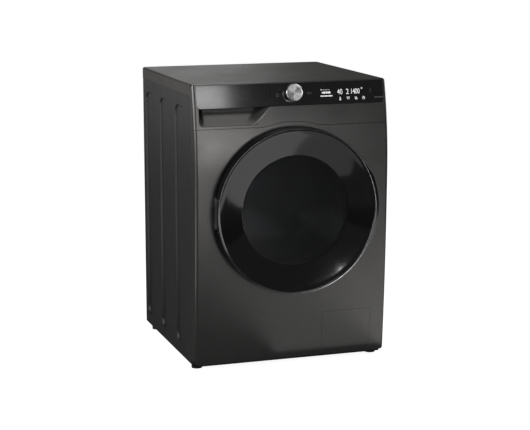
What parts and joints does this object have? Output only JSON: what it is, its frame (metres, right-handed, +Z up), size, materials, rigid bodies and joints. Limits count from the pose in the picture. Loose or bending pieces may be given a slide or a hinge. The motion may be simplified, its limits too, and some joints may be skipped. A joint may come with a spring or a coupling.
{
  "type": "washing machine",
  "caption": "Front-loading washing machine with a bowed dark front, round glass door, turning dial, detergent drawer, service flap and a sprung tub with a spinning drum.",
  "frame": {"origin": "floor level, under the middle of the overall box", "axes": "+X to the right seen from the front, +Y to the back, +Z up"},
  "size_m": [0.6, 0.661, 0.85],
  "materials": {
    "casing_paint": "satin",
    "casing_plastic": "satin",
    "worktop_laminate": "satin",
    "zinc_sheet": "satin",
    "gloss_black": "gloss",
    "black_plastic": "matte",
    "bright_trim": "polished",
    "tinted_window": "gloss",
    "bowl_glass": "gloss",
    "hinge_metal": "satin",
    "steel": "satin",
    "drum_steel": "satin",
    "cast_aluminium": "satin",
    "dial_metal": "satin",
    "grey_rubber": "matte",
    "black_rubber": "matte",
    "tub_plastic": "matte",
    "pale_plastic": "satin",
    "concrete": "matte"
  },
  "bodies": {
    "cabinet": {"side_panel_left": "casing_paint", "side_panel_right": "casing_paint", "front_panel": "casing_paint", "console_fascia": "casing_plastic", "worktop": "worktop_laminate", "rear_panel": "zinc_sheet", "top_braces": "zinc_sheet", "rear_service_cover": "zinc_sheet", "control_panel": "gloss_black", "base_tray": "black_plastic", "door_lock": "black_plastic", "drain_pump": "black_plastic", "display_board": "black_plastic", "mains_gland": "black_plastic", "door_hinge_bracket": "hinge_metal", "door_hinge_pin": "steel", "cabinet_screws": "steel", "foot_locknuts": "steel", "suspension_springs": "steel", "door_gasket": "grey_rubber", "sump_hose": "black_rubber", "fill_hose": "black_rubber", "damper_cylinders": "tub_plastic", "drawer_housing": "pale_plastic", "inlet_valve": "pale_plastic", "drain_pipe": "pale_plastic"},
    "door": {"door_back_frame": "black_plastic", "door_outer_ring": "gloss_black", "door_trim_ring": "bright_trim", "door_window": "tinted_window", "door_glass_bowl": "bowl_glass", "door_hinge_leaf": "hinge_metal"},
    "door_hook": {"door_hook": "steel"},
    "drawer": {"drawer_front": "casing_plastic", "drawer_trim": "gloss_black", "drawer_box": "pale_plastic", "siphon_cap": "pale_plastic"},
    "dial": {"dial_knob": "dial_metal"},
    "flap": {"filter_flap": "casing_plastic"},
    "filter": {"filter_cap": "black_plastic"},
    "tub": {"tub_rear": "tub_plastic", "tub_front": "tub_plastic", "counterweight_front": "concrete", "counterweight_top": "concrete", "heater": "steel", "drum_bearings": "steel", "shaft_seal": "black_rubber", "motor_housing": "cast_aluminium", "damper_rods": "steel", "drive_belt": "black_rubber"},
    "drum": {"drum": "drum_steel", "drum_lifters": "pale_plastic", "drum_spider": "cast_aluminium", "drum_pulley": "cast_aluminium"},
    "rotor": {"motor_rotor": "steel"},
    "impeller": {"pump_impeller": "tub_plastic"},
    "foot_front_left": {"foot_front_left": "black_plastic"},
    "foot_front_right": {"foot_front_right": "black_plastic"},
    "foot_rear_left": {"foot_rear_left": "black_plastic"},
    "foot_rear_right": {"foot_rear_right": "black_plastic"}
  },
  "joints": [
    {"name": "door_hinge", "type": "hinge", "parent": "cabinet", "child": "door", "pos_m": [-0.236, -0.3155, 0.476], "axis": [0, 0, -1], "range_deg": [0, 120]},
    {"name": "door_hook_pivot", "type": "hinge", "parent": "door", "child": "door_hook", "pos_m": [0.22, -0.2885, 0.476], "axis": [0, 0, 1], "range_deg": [0, 8], "stiffness_Nm_per_rad": 0.05, "springref_deg": -17.19},
    {"name": "drawer_slide", "type": "slide", "parent": "cabinet", "child": "drawer", "axis": [0, -1, 0], "range_m": [0, 0.24]},
    {"name": "dial_turn", "type": "hinge", "parent": "cabinet", "child": "dial", "pos_m": [0.005, -0.2588, 0.8165], "axis": [0, -0.9746, 0.224], "continuous": true},
    {"name": "flap_hinge", "type": "hinge", "parent": "cabinet", "child": "flap", "pos_m": [0.175, -0.26087, 0.056], "axis": [1, 0, 0], "range_deg": [0, 90]},
    {"name": "filter_cap_turn", "type": "hinge", "parent": "cabinet", "child": "filter", "pos_m": [0.176, -0.2395, 0.095], "axis": [0, -1, 0], "range_deg": [0, 180]},
    {"name": "tub_bounce", "type": "slide", "parent": "cabinet", "child": "tub", "axis": [0, 0, 1], "range_m": [-0.006, 0.006], "stiffness_N_per_m": 15000, "springref_m": 0.02197, "deforming": ["suspension_springs", "sump_hose", "door_gasket"]},
    {"name": "drum_spin", "type": "hinge", "parent": "tub", "child": "drum", "pos_m": [0, 0.2355, 0.476], "axis": [0, 1, 0], "continuous": true},
    {"name": "motor_spin", "type": "hinge", "parent": "tub", "child": "rotor", "pos_m": [0, 0.1815, 0.13], "axis": [0, 1, 0], "continuous": true},
    {"name": "pump_spin", "type": "hinge", "parent": "cabinet", "child": "impeller", "pos_m": [0.176, -0.1345, 0.095], "axis": [0, 1, 0], "continuous": true},
    {"name": "foot_front_left_turn", "type": "hinge", "parent": "cabinet", "child": "foot_front_left", "pos_m": [-0.278, -0.2085, 0.02], "axis": [0, 0, 1], "continuous": true},
    {"name": "foot_front_right_turn", "type": "hinge", "parent": "cabinet", "child": "foot_front_right", "pos_m": [0.278, -0.2085, 0.02], "axis": [0, 0, 1], "continuous": true},
    {"name": "foot_rear_left_turn", "type": "hinge", "parent": "cabinet", "child": "foot_rear_left", "pos_m": [-0.278, 0.2605, 0.02], "axis": [0, 0, 1], "continuous": true},
    {"name": "foot_rear_right_turn", "type": "hinge", "parent": "cabinet", "child": "foot_rear_right", "pos_m": [0.278, 0.2605, 0.02], "axis": [0, 0, 1], "continuous": true}
  ],
  "couplings": [
    {"joint": "motor_spin", "follows": "drum_spin", "ratio": 15}
  ]
}
